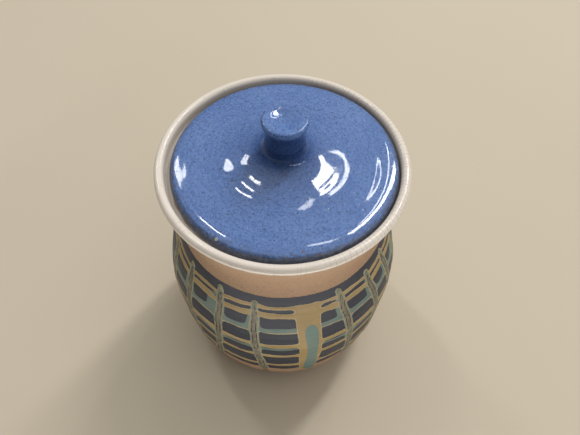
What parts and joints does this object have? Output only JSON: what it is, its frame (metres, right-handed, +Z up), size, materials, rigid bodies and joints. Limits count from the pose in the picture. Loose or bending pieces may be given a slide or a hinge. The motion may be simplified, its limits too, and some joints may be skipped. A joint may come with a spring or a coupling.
{
  "type": "biscuit jar",
  "caption": "Round-bellied thrown stoneware jar with a waisted neck, a flared lip and a loose lid, with a knob, that sits in a gallery inside the lip.",
  "frame": {"origin": "centre of the foot ring, on the surface that the jar stands on", "axes": "+Z up along the axis that the jar was turned on; -Y is the side that faces the viewer, with the broad cream pull a little to the right of it"},
  "size_m": [0.1752, 0.1752, 0.2366],
  "materials": {
    "slipped_stoneware": "buff stoneware with slate, cream and grey-green slip in bands and pulls, and a cream glaze on the lip",
    "blue_glaze": "glossy mid-blue stoneware glaze with fine dark iron specks"
  },
  "bodies": {
    "jar": {"jar_body": "slipped_stoneware"},
    "lid": {"lid": "blue_glaze", "lid_knob": "blue_glaze"}
  },
  "joints": [
    {"name": "lid_lift", "type": "slide", "parent": "jar", "child": "lid", "axis": [0, 0, 1], "range_m": [0, 0.1]}
  ]
}
